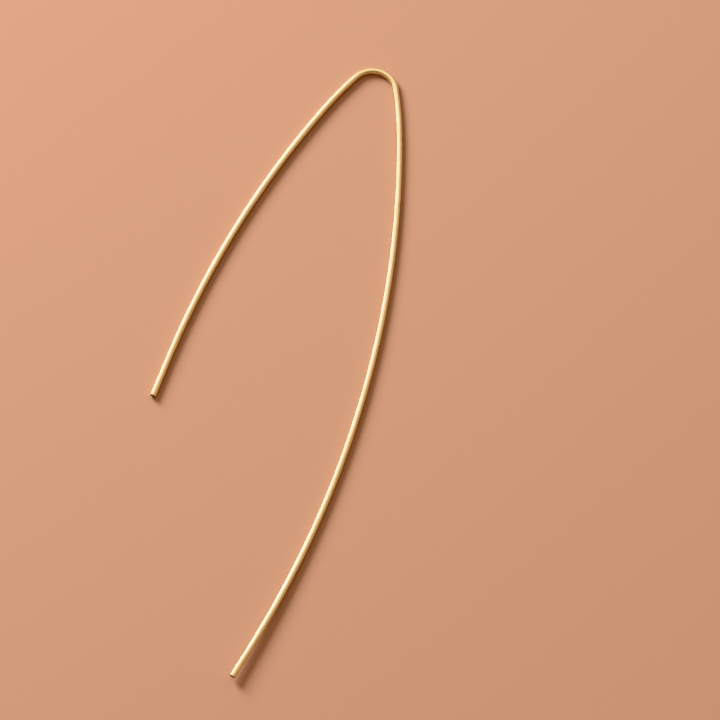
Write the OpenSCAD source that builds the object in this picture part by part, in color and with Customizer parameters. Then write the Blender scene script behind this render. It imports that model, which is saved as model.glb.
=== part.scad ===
// Threader earring: one length of round wire with a tight bend between a short leg and a long one.
// It lies on the XY plane, and the line that it hangs along when worn is Y, with the bend at +Y.
// The last stretch of the long leg springs up off the plane a little.

/* [Wire] */
// Thickness of the round wire, 20 gauge
wire_d = 0.8; // [0.7:0.1:1]
// Width of the bevel that takes the burr off each cut end
end_bevel = 0.07; // [0.03:0.01:0.15]

/* [Short leg] */
// Length of the straight tip that goes through the ear
short_tip_l = 5.2; // [4:0.1:10]
// Radius of the short leg's long bow, to the middle of the wire
short_bow_r = 128; // [100:1:160]
// Turn of the short leg's long bow, in degrees
short_bow_turn = 18; // [14:0.5:19]
// Radius of the shoulder between the short leg and the bend
short_shoulder_r = 46; // [30:1:80]
// Turn of that shoulder, in degrees
short_shoulder_turn = 7.5; // [5:0.5:10]

/* [Bend] */
// Radius of the bend that rests in the ear, to the middle of the wire
bend_r = 3; // [2:0.5:5]
// Turn of the bend, in degrees
bend_turn = 127; // [120:1:130]

/* [Long leg] */
// Radius of the shoulder between the bend and the long leg
long_shoulder_r = 56; // [30:1:80]
// Turn of that shoulder, in degrees
long_shoulder_turn = 7; // [5:0.5:9]
// Radius of the long leg's long bow, to the middle of the wire
long_bow_r = 134; // [110:1:180]
// Turn of the part of that bow which lies flat, in degrees
long_bow_turn = 20.5; // [17:0.5:23]
// Turn of the part of that bow which springs up, in degrees
sprung_turn = 10; // [8:0.5:11]
// Lean of the sprung part out of the plane of the rest, in degrees
sprung_lean = 9; // [0:1:20]
// Length of the straight tip of the long leg
long_tip_l = 4.7; // [4:0.1:10]

/* [Hidden] */

wire_r = wire_d / 2;
wire_fn = 32;
turn_fn = 180;

// The bows from the short tip to the long one: radius, turn, and lean out of the plane
RADIUS = 0;
TURN = 1;
LEAN = 2;
bows = [
    [short_bow_r, short_bow_turn, 0],
    [short_shoulder_r, short_shoulder_turn, 0],
    [bend_r, bend_turn, 0],
    [long_shoulder_r, long_shoulder_turn, 0],
    [long_bow_r, long_bow_turn, 0],
    [long_bow_r, sprung_turn, sprung_lean]
];
bend_row = 2;
last_row = len(bows) - 1;

// A station is a point of the wire's middle line in plan, and the way that it heads there, in degrees
X = 0;
Y = 1;
HEADING = 2;

// Counted from the short tip, every second piece is thicker than the pieces beside it by this much, and
// they lap into it, so that the smooth joints close into one solid
seam = 0.002;
lap = 0.05;

function forward(station) = [cos(station[HEADING]), sin(station[HEADING])];
function rightward(station) = [sin(station[HEADING]), -cos(station[HEADING])];
function place(station) = [station[X], station[Y]];
function radians(degrees) = degrees * PI / 180;
function total(list, i = 0) = i == len(list) ? 0 : list[i] + total(list, i + 1);

// Every bow turns to the right, and one that leans is narrower in plan
function along_bow(station, row, turn) =
    let (
        narrowing = cos(row[LEAN]),
        ahead = row[RADIUS] * sin(turn),
        aside = row[RADIUS] * (1 - cos(turn)) * narrowing,
        end = place(station) + ahead * forward(station) + aside * rightward(station)
    )
    [end[X], end[Y], station[HEADING] - atan2(sin(turn) * narrowing, cos(turn))];
function along_straight(station, length) =
    let (end = place(station) + length * forward(station))
    [end[X], end[Y], station[HEADING]];

// All the stations follow from the one where the first bow starts
function bow_start(first, i) =
    i == 0 ? first : along_bow(bow_start(first, i - 1), bows[i - 1], bows[i - 1][TURN]);
function short_end(first) = along_straight(first, -short_tip_l);
function long_end(first) = along_straight(bow_start(first, len(bows)), long_tip_l);

// Length and centre of mass of one bow of wire
function bow_length(row) = row[RADIUS] * radians(row[TURN]);
function bow_mass_centre(station, row) =
    let (
        turn = radians(row[TURN]),
        ahead = row[RADIUS] * (1 - cos(row[TURN])) / turn,
        aside = row[RADIUS] * (1 - sin(row[TURN]) / turn) * cos(row[LEAN])
    )
    place(station) + ahead * forward(station) + aside * rightward(station);

// Centre of mass of the whole wire
function mass_centre(first) =
    let (
        lengths = concat([short_tip_l], [for (row = bows) bow_length(row)], [long_tip_l]),
        centres = concat(
            [place(along_straight(first, -short_tip_l / 2))],
            [for (i = [0 : last_row]) bow_mass_centre(bow_start(first, i), bows[i])],
            [place(along_straight(bow_start(first, len(bows)), long_tip_l / 2))]
        ),
        moments = [for (i = [0 : len(lengths) - 1]) lengths[i] * centres[i]]
    )
    [for (axis = [X, Y]) total([for (moment = moments) moment[axis]]) / total(lengths)];

// Middle of the wire's outline, from stations close enough together to find how far it reaches
outline_step = 0.5;
function stations(first) = concat(
    [short_end(first)],
    [for (i = [0 : last_row], turn = [0 : outline_step : bows[i][TURN]])
        along_bow(bow_start(first, i), bows[i], turn)],
    [long_end(first)]
);
function half_wire(station, axis) = wire_r * abs(rightward(station)[axis]);
function outline_middle(first) =
    let (all = stations(first))
    [for (axis = [X, Y])
        let (
            low = min([for (station = all) station[axis] - half_wire(station, axis)]),
            high = max([for (station = all) station[axis] + half_wire(station, axis)])
        )
        (low + high) / 2];

// The wire is sketched from the origin straight along Y, then turned as it hangs when worn, with its
// centre of mass straight below the middle of the bend, and then centred on the origin
sketch = [0, 0, 90];
sketched_bend = bow_start(sketch, bend_row);
plumb = place(sketched_bend) + bend_r * rightward(sketched_bend) - mass_centre(sketch);
turned = [0, 0, sketch[HEADING] + 90 - atan2(plumb[Y], plumb[X])];
middle = outline_middle(turned);
first_bow = [-middle[X], -middle[Y], turned[HEADING]];

// Draws its children from the origin along X, in the plane that the wire bends in
module at(station, lean = 0) {
    translate([station[X], station[Y], wire_r])
        rotate([0, 0, station[HEADING]])
            rotate([-lean, 0, 0])
                children();
}

// A straight tip along X with its free end bevelled, which starts a lap behind the origin if it is thin
module tip(length, thick) {
    radius = wire_r + (thick ? seam : 0);
    start = thick ? 0 : -lap;
    rotate([0, 90, 0])
        rotate_extrude($fn = wire_fn)
            polygon([
                [0, start],
                [radius, start],
                [radius, length - end_bevel],
                [radius - end_bevel, length],
                [0, length]
            ]);
}

// A bow that starts at the origin along X and turns to the right
module bow(row, thick) {
    extra = thick ? 0 : lap / row[RADIUS] * 180 / PI;
    translate([0, -row[RADIUS], 0])
        rotate_extrude(
            start = 90 - row[TURN] - extra,
            angle = row[TURN] + 2 * extra,
            $fn = turn_fn
        )
            translate([row[RADIUS], 0])
                circle(r = wire_r + (thick ? seam : 0), $fn = wire_fn);
}

module after_bow(row) {
    translate([0, -row[RADIUS], 0])
        rotate([0, 0, -row[TURN]])
            translate([0, row[RADIUS], 0])
                children();
}

module ear_wire() {
    color("gold") {
        at(first_bow)
            rotate([0, 0, 180])
                tip(short_tip_l, false);
        for (i = [0 : last_row])
            at(bow_start(first_bow, i), bows[i][LEAN])
                bow(bows[i], i % 2 == 0);
        at(bow_start(first_bow, last_row), sprung_lean)
            after_bow(bows[last_row])
                tip(long_tip_l, true);
    }
}

ear_wire();
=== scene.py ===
import math

import bpy
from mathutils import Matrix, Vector
from mathutils.kdtree import KDTree


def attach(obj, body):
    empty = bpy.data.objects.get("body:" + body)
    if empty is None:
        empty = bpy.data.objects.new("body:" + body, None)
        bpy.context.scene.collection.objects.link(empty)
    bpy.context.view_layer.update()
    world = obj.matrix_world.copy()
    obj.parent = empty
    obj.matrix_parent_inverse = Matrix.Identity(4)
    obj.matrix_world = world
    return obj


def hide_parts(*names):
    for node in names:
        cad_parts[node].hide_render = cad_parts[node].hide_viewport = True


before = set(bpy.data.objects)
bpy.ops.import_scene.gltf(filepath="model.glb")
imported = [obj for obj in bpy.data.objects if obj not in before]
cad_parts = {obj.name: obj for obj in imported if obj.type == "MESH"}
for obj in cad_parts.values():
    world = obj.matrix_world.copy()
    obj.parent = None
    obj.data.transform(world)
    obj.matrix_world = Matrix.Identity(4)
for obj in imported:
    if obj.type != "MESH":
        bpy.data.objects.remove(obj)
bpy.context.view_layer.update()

# The ear wire is one length of round gold-filled brass wire. It is drawn through a die, cut off
# square, filed round at both ends and turned on a mandrel into the bend, and its legs are bowed
# between the fingers. The end of the long leg springs a little off the surface.
MM = 0.001
UP = Vector((0, 0, 1))

wire_radius = 0.4 * MM
wire_sides = 48
filed_edge = 0.07 * MM
filed_rings = 4
file_reach = 0.02 * MM

short_end = Vector((-12.7342, -8.9977, 0.4)) * MM
short_heading = math.radians(83.8302)
short_tip = 5.2 * MM
long_tip = 4.7 * MM
ring_spacing = 0.8 * MM

# Radius and turn of each bow, its lean out of the plane, and how many rings it is made of
short_bow = (128 * MM, 18, 0, 50)
short_shoulder = (46 * MM, 7.5, 0, 12)
ear_bend = (3 * MM, 127, 0, 60)
long_shoulder = (56 * MM, 7, 0, 14)
long_bow = (134 * MM, 20.5, 0, 60)
sprung_bow = (134 * MM, 10, 9, 30)

place = short_end.copy()
ahead = Vector((math.cos(short_heading), math.sin(short_heading), 0))
rightward = ahead.cross(UP)
drawn = 0.0
rings = []


def note_ring():
    """Keeps where a ring of the wire lies and how much wire comes before it."""
    rings.append((place.copy(), rightward.copy(), rightward.cross(ahead), drawn))


def push_out(length):
    """Draws the open face of the wire straight on."""
    global place, drawn
    bpy.ops.mesh.extrude_region_move(TRANSFORM_OT_translate={"value": ahead * length})
    place = place + ahead * length
    drawn += length
    note_ring()


def straight(length):
    """Draws a straight stretch of wire, in rings of about the same spacing."""
    steps = round(length / ring_spacing)
    for _ in range(steps):
        push_out(length / steps)


def round_edge(opening):
    """Files a cut end's edge round: out to the full wire where it opens, in again where it ends."""
    radius = wire_radius - filed_edge if opening else wire_radius
    quarter = [math.radians(90) * ring / filed_rings for ring in range(filed_rings + 1)]
    for before, after in zip(quarter, quarter[1:]):
        if opening:
            push_out(filed_edge * (math.cos(before) - math.cos(after)))
            new_radius = wire_radius - filed_edge * (1 - math.sin(after))
        else:
            push_out(filed_edge * (math.sin(after) - math.sin(before)))
            new_radius = wire_radius - filed_edge * (1 - math.cos(after))
        factor = new_radius / radius
        bpy.ops.transform.resize(value=(factor, factor, factor), center_override=place)
        radius = new_radius


def bow(radius, turn, lean, steps):
    """Spins the open face of the wire to the right, round an axis that leans with the bow."""
    global place, ahead, rightward, drawn
    tilt = math.radians(lean)
    flat_right = ahead.cross(UP)
    rightward = flat_right * math.cos(tilt) + UP * math.sin(tilt)
    centre = place + rightward * radius
    axis = rightward.cross(ahead)
    bpy.ops.mesh.spin(
        steps=steps, angle=math.radians(turn), center=centre, axis=axis, use_auto_merge=False
    )
    first_ahead, first_right = ahead, rightward
    for step in range(1, steps + 1):
        part = math.radians(turn) * step / steps
        ahead = first_ahead * math.cos(part) + first_right * math.sin(part)
        rightward = first_right * math.cos(part) - first_ahead * math.sin(part)
        place = centre - rightward * radius
        drawn += radius * math.radians(turn) / steps
        note_ring()


bpy.ops.object.select_all(action="DESELECT")
bpy.ops.mesh.primitive_circle_add(
    vertices=wire_sides,
    radius=wire_radius - filed_edge,
    fill_type="NGON",
    location=place,
    rotation=ahead.to_track_quat("Z", "Y").to_euler(),
)
ear_wire = bpy.context.object
ear_wire.name = ear_wire.data.name = "drawn_wire"
bpy.ops.object.transform_apply(location=True, rotation=True, scale=True)
bpy.ops.object.mode_set(mode="EDIT")
bpy.ops.mesh.select_all(action="SELECT")
note_ring()
round_edge(opening=True)
straight(short_tip - filed_edge)
bow(*short_bow)
bow(*short_shoulder)
bend_start = drawn
bow(*ear_bend)
bend_end = drawn
bow(*long_shoulder)
bow(*long_bow)
bow(*sprung_bow)
straight(long_tip - filed_edge)
round_edge(opening=False)

# Spin and extrude leave doubled points, and only the two cut faces have as many sides as the wire
same_point = 0.001 * MM
crisp_edge = math.radians(35)
bpy.ops.mesh.select_all(action="SELECT")
bpy.ops.mesh.remove_doubles(threshold=same_point)
bpy.ops.mesh.normals_make_consistent(inside=False)
bpy.ops.mesh.select_all(action="DESELECT")
bpy.ops.mesh.select_face_by_sides(number=wire_sides, type="EQUAL")
bpy.ops.mesh.inset(thickness=file_reach)
bpy.ops.object.mode_set(mode="OBJECT")
bpy.ops.object.shade_smooth_by_angle(angle=crisp_edge)

# Where each point lay on the straight wire before it was bent, which the drawing lines follow
nearest_ring = KDTree(len(rings))
for number, (ring_place, _, _, _) in enumerate(rings):
    nearest_ring.insert(ring_place, number)
nearest_ring.balance()
straight_place = ear_wire.data.attributes.new("straight_place", "FLOAT_VECTOR", "POINT")
for vertex, value in zip(ear_wire.data.vertices, straight_place.data):
    _, number, _ = nearest_ring.find(vertex.co)
    ring_place, ring_right, ring_up, along = rings[number]
    offset = vertex.co - ring_place
    value.vector = (along, offset.dot(ring_right), offset.dot(ring_up))

# The gold is a thin layer on the brass, polished after the wire is bent. It keeps faint marks of
# the die, the fingers and the mandrel, and only the filed ends show the brass.
gold = bpy.data.materials.new("polished_gold")
gold.use_nodes = True
shader = gold.node_tree.nodes["Principled BSDF"]
shader.inputs["Metallic"].default_value = 1.0
ear_wire.data.materials.append(gold)


def finish_node(kind, settings, **inputs):
    """Adds a node to the gold. An input is a value or another node's output, and an underscore
    with a number stands for the input at that place."""
    node = gold.node_tree.nodes.new("ShaderNode" + kind)
    for name, value in settings.items():
        setattr(node, name, value)
    for name, value in inputs.items():
        socket = node.inputs[int(name[1:]) if name[0] == "_" else name.replace("_", " ")]
        if isinstance(value, bpy.types.NodeSocket):
            gold.node_tree.links.new(value, socket)
        else:
            socket.default_value = value
    return node


wire_place = finish_node("Attribute", {"attribute_name": "straight_place"}).outputs["Vector"]
wire_split = finish_node("SeparateXYZ", {}, Vector=wire_place)


def grain(along, across, detail):
    """Noise whose marks are these lengths, along the wire and across it."""
    stretched = finish_node(
        "Mapping", {}, Vector=wire_place, Scale=(1 / along, 1 / across, 1 / across)
    )
    noise = finish_node("TexNoise", {}, Vector=stretched.outputs[0], Scale=1.0, Detail=detail)
    return noise.outputs["Fac"]


def between(value, low, high):
    """Carries a value over to a range from 0 at low to 1 at high, smoothly."""
    return finish_node(
        "MapRange",
        {"interpolation_type": "SMOOTHSTEP"},
        Value=value,
        From_Min=low,
        From_Max=high,
        To_Min=0.0,
        To_Max=1.0,
    ).outputs["Result"]


def combined(operation, first, second):
    """Works out one value from two, such as their sum."""
    return finish_node("Math", {"operation": operation}, _0=first, _1=second).outputs[0]


def from_middle(first, last):
    """How far a point of the wire is from the middle of a stretch of it."""
    past_middle = combined("SUBTRACT", wire_split.outputs["X"], (first + last) / 2)
    return combined("ABSOLUTE", past_middle, 0.0)


die_lines = grain(along=30 * MM, across=0.09 * MM, detail=3.0)
hand_waves = grain(along=2.8 * MM, across=1.1 * MM, detail=1.5)
scuffs = between(grain(along=1.3 * MM, across=0.26 * MM, detail=4.0), low=0.50, high=0.66)
rubbed = between(grain(along=22 * MM, across=2.5 * MM, detail=2.0), low=0.35, high=0.65)

# The bend's stretched skin has a faint orange peel, which fades out into the legs
half_bend = (bend_end - bend_start) / 2
past_bend = 1.2 * MM
inside_bend = 0.6 * MM
on_bend = between(
    from_middle(bend_start, bend_end), low=half_bend + past_bend, high=half_bend - inside_bend
)
peel = grain(along=0.09 * MM, across=0.09 * MM, detail=2.0)

# The brass shows on the flat of each end, with the file's lines across it, and gives way to gold
# over the filed edge. Its colour is darker than bare brass: partly dull brass, partly painted shade
# for the shadow and dark reflections that the end faces catch.
half_wire = drawn / 2
gold_ends = 0.03 * MM
all_brass = 0.005 * MM
on_cut = between(from_middle(0, drawn), low=half_wire - gold_ends, high=half_wire - all_brass)
file_angle = math.radians(35)
file_line_width = 0.04 * MM
file_line_length = 1.5 * MM
filed_across = finish_node(
    "Mapping",
    {},
    Vector=wire_place,
    Rotation=(file_angle, 0, 0),
    Scale=(0, 1 / file_line_width, 1 / file_line_length),
)
file_lines = finish_node(
    "TexNoise", {}, Vector=filed_across.outputs[0], Scale=1.0, Detail=2.0
).outputs["Fac"]


def blended(share, first, second):
    """Mixes two colours of metal by a share that changes over the wire."""
    mix = finish_node("Mix", {"data_type": "RGBA"}, Factor=share, _6=first, _7=second)
    return mix.outputs[2]


warm_gold = (0.92, 0.78, 0.47, 1)
pale_gold = (0.95, 0.84, 0.56, 1)
# Both colours of the cut ends are darkened with painted shade, beyond the dull brass itself
shaded_cut_brass = (0.36, 0.21, 0.11, 1)
shaded_dull_brass = (0.22, 0.12, 0.06, 1)
scuff_paleness = 0.35
body_gold = blended(rubbed, warm_gold, pale_gold)
scuffed_gold = blended(combined("MULTIPLY", scuffs, scuff_paleness), body_gold, pale_gold)
shaded_cut_face = blended(between(file_lines, low=0.35, high=0.6), shaded_dull_brass, shaded_cut_brass)
end_gold = blended(on_cut, scuffed_gold, shaded_cut_face)
gold.node_tree.links.new(end_gold, shader.inputs["Base Color"])

polished_roughness = 0.16
die_line_roughness = 0.16
scuff_roughness = 0.11
cut_roughness = 0.16
roughness = combined(
    "ADD",
    combined("MULTIPLY", die_lines, die_line_roughness),
    combined("MULTIPLY", scuffs, scuff_roughness),
)
roughness = combined("ADD", roughness, combined("MULTIPLY", on_cut, cut_roughness))
roughness = combined("ADD", roughness, polished_roughness)
gold.node_tree.links.new(roughness, shader.inputs["Roughness"])


def marked(marks, depth, strength=1.0, sunk=False, **below):
    """Raises or sinks marks of this depth, on top of the marks that are below them."""
    return finish_node(
        "Bump", {"invert": sunk}, Height=marks, Distance=depth, Strength=strength, **below
    ).outputs[0]


waved = marked(hand_waves, depth=0.065 * MM)
lined = marked(die_lines, depth=0.005 * MM, Normal=waved)
scuffed = marked(scuffs, depth=0.005 * MM, sunk=True, Normal=lined)
peeled = marked(peel, depth=0.004 * MM, strength=on_bend, Normal=scuffed)
filed = marked(file_lines, depth=0.012 * MM, strength=on_cut, Normal=peeled)
gold.node_tree.links.new(filed, shader.inputs["Normal"])

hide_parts("ear_wire")
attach(ear_wire, "root")

# The camera looks down on the wire at 68 degrees, a little from its right, through a long lens.
# All of the wire lies in the frame, left of the middle for the most part.
heading_in_view = math.radians(69.878)
view_turn = short_heading - heading_in_view
view_height = math.radians(68)
view_distance = 420 * MM
end_in_view = Vector((-25.794, -4.811)) * MM
lens_length = 168
film_width = 36
nearest_seen = 10 * MM
farthest_seen = 10


def from_view(x, y):
    """A direction on the surface, given as seen in the picture, rightward and upward."""
    c, s = math.cos(view_turn), math.sin(view_turn)
    return Vector((c * x - s * y, s * x + c * y, 0))


target = short_end - from_view(*end_in_view)
backward = from_view(0, -1) * math.cos(view_height) + UP * math.sin(view_height)
bpy.ops.object.camera_add(
    location=target + backward * view_distance,
    rotation=(math.pi / 2 - view_height, 0, view_turn),
)
camera = bpy.context.object
camera.data.lens = lens_length
camera.data.sensor_width = film_width
camera.data.clip_start = nearest_seen
camera.data.clip_end = farthest_seen
bpy.context.scene.camera = camera

# The surface is one large sheet of plain, pale, matt paper that lies flat. The lower sides of the
# wire mirror its colour.
paper_size = 3
paper_colour = (0.408, 0.241, 0.182, 1)
bpy.ops.mesh.primitive_plane_add(size=paper_size, location=(0, 0, 0))
paper = bpy.context.object
paper.name = "paper"
pale_paper = bpy.data.materials.new("pale_paper")
pale_paper.use_nodes = True
paper_shader = pale_paper.node_tree.nodes["Principled BSDF"]
paper_shader.inputs["Base Color"].default_value = paper_colour
paper_shader.inputs["Roughness"].default_value = 0.8
paper_shader.inputs["Specular IOR Level"].default_value = 0.2
paper.data.materials.append(pale_paper)

# The light is that of a room with one large window low to the upper left. The wall and the
# ceiling beyond the wire are bright, most of all the ceiling above the bend, and the room behind
# the camera is dim.
window_height = math.radians(28)
window_distance = 0.8
window_width = 0.4
window_power = 13.6
daylight = (1, 0.98, 0.88)
bpy.context.scene.view_settings.view_transform = "Khronos PBR Neutral"

window_side = from_view(-0.643, 0.766)
window_way = window_side * math.cos(window_height) + UP * math.sin(window_height)
bpy.ops.object.light_add(
    type="AREA",
    location=target + window_way * window_distance,
    rotation=window_way.to_track_quat("Z", "Y").to_euler(),
)
window = bpy.context.object
window.name = "window"
window.data.shape = "DISK"
window.data.size = window_width
window.data.energy = window_power
window.data.color = daylight
window.visible_camera = False

room = bpy.data.worlds.new("room")
bpy.context.scene.world = room
room.use_nodes = True
room_nodes, room_links = room.node_tree.nodes, room.node_tree.links
way = room_nodes.new("ShaderNodeTexCoord").outputs["Generated"]


def side_of_room(middle, rim, core, at_rim=0.0, at_core=1.0, fading="SMOOTHSTEP"):
    """A value that runs from the rim of a side of the room to its core, which are both given as
    the cosine of an angle from the side's middle."""
    cosine = room_nodes.new("ShaderNodeVectorMath")
    cosine.operation = "DOT_PRODUCT"
    cosine.inputs[1].default_value = middle
    room_links.new(way, cosine.inputs[0])
    spread = room_nodes.new("ShaderNodeMapRange")
    spread.interpolation_type = fading
    spread.inputs["From Min"].default_value = rim
    spread.inputs["From Max"].default_value = core
    spread.inputs["To Min"].default_value = at_rim
    spread.inputs["To Max"].default_value = at_core
    room_links.new(cosine.outputs["Value"], spread.inputs["Value"])
    return spread.outputs["Result"]


toward_wall = from_view(0.08, 0.45) + UP * 0.9
toward_ceiling = from_view(0, 0.42) + UP * 0.9075
toward_dim_side = from_view(0, -0.766) + UP * 0.643
far_wall = side_of_room(toward_wall, rim=-0.2, core=1.0, fading="LINEAR")
ceiling_glow = side_of_room(toward_ceiling, rim=0.93, core=0.99)
dim_side = side_of_room(toward_dim_side, rim=0.74, core=0.97, at_core=0.65, at_rim=1.0)

near_wall_colour = (0.35, 0.22, 0.135, 1)
far_wall_colour = (0.79, 0.60, 0.45, 1)
ceiling_colour = (2.1, 1.85, 1.5, 1)
wall_light = room_nodes.new("ShaderNodeMix")
wall_light.data_type = "RGBA"
wall_light.inputs[6].default_value = near_wall_colour
wall_light.inputs[7].default_value = far_wall_colour
room_links.new(far_wall, wall_light.inputs["Factor"])
ceiling_light = room_nodes.new("ShaderNodeMix")
ceiling_light.data_type = "RGBA"
ceiling_light.inputs[7].default_value = ceiling_colour
room_links.new(wall_light.outputs[2], ceiling_light.inputs[6])
room_links.new(ceiling_glow, ceiling_light.inputs["Factor"])
room_links.new(ceiling_light.outputs[2], room_nodes["Background"].inputs["Color"])
room_links.new(dim_side, room_nodes["Background"].inputs["Strength"])
